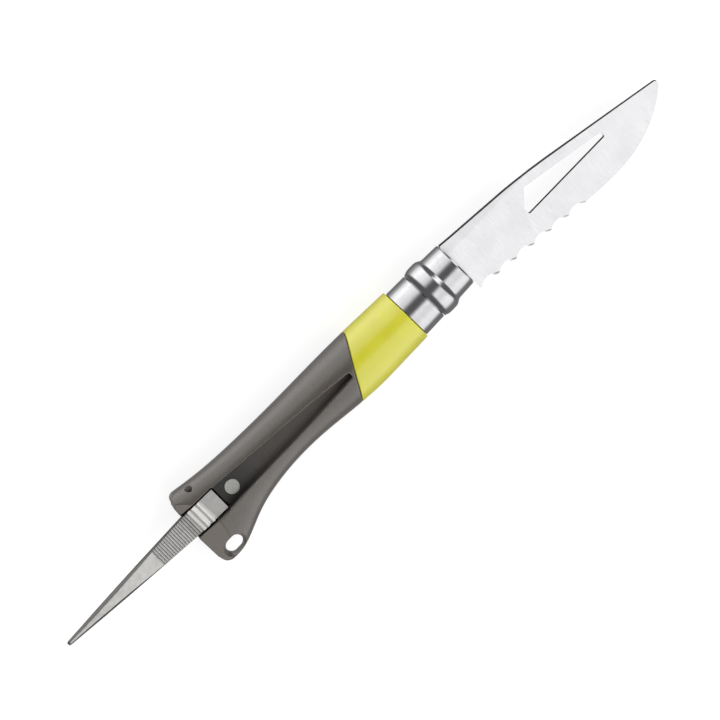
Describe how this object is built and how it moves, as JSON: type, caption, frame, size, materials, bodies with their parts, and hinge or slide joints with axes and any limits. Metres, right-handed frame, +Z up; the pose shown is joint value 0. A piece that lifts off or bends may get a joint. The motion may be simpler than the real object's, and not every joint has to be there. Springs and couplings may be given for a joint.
{
  "type": "rigging knife",
  "caption": "Folding rigging knife with a locking ring, serrated blade with a shackle-key opening, and a fold-out flat spike stowed in the grip.",
  "frame": {"origin": "bottom centre of the whole box, with the knife lying on its side, blade open and spike swung out", "axes": "+X along the handle towards the blade's tip, +Y towards the blade's spine and the back of the grip, +Z up out of the face with the spike channel"},
  "size_m": [0.2574, 0.0318, 0.02],
  "materials": {
    "blade_steel": "satin polished stainless steel",
    "rivet_steel": "plain steel",
    "ferrule_chrome": "polished stainless steel",
    "ring_chrome": "polished stainless steel",
    "core_black": "black glass-filled polyamide",
    "grip_grey": "warm grey moulded polymer, fine matt grain",
    "sleeve_lime": "lime moulded polymer, satin",
    "magnet_nickel": "dull nickel-plated disc",
    "spike_steel": "tumbled and ground stainless steel",
    "pin_steel": "plain steel",
    "spring_steel": "blued spring steel"
  },
  "bodies": {
    "handle": {"handle_body": "grip_grey", "handle_core": "core_black", "front_sleeve": "sleeve_lime", "ferrule": "ferrule_chrome", "blade_rivet": "rivet_steel", "cradle_magnet": "magnet_nickel", "spike_hinge_pin": "pin_steel", "detent_spring": "spring_steel"},
    "blade": {"blade": "blade_steel"},
    "ring": {"lock_ring": "ring_chrome"},
    "spike": {"spike": "spike_steel"}
  },
  "joints": [
    {"name": "blade_fold", "type": "hinge", "parent": "handle", "child": "blade", "pos_m": [0.03177, -0.00008, 0.0098], "axis": [0, 0, -1], "range_deg": [0, 174]},
    {"name": "ring_turn", "type": "hinge", "parent": "handle", "child": "ring", "pos_m": [0.03177, 0.00142, 0.0098], "axis": [1, 0, 0], "range_deg": [0, 90]},
    {"name": "spike_flip", "type": "hinge", "parent": "handle", "child": "spike", "pos_m": [-0.06728, 0.00492, 0.0137], "axis": [0.0314, 0.9995, 0], "range_deg": [0, 177]}
  ]
}
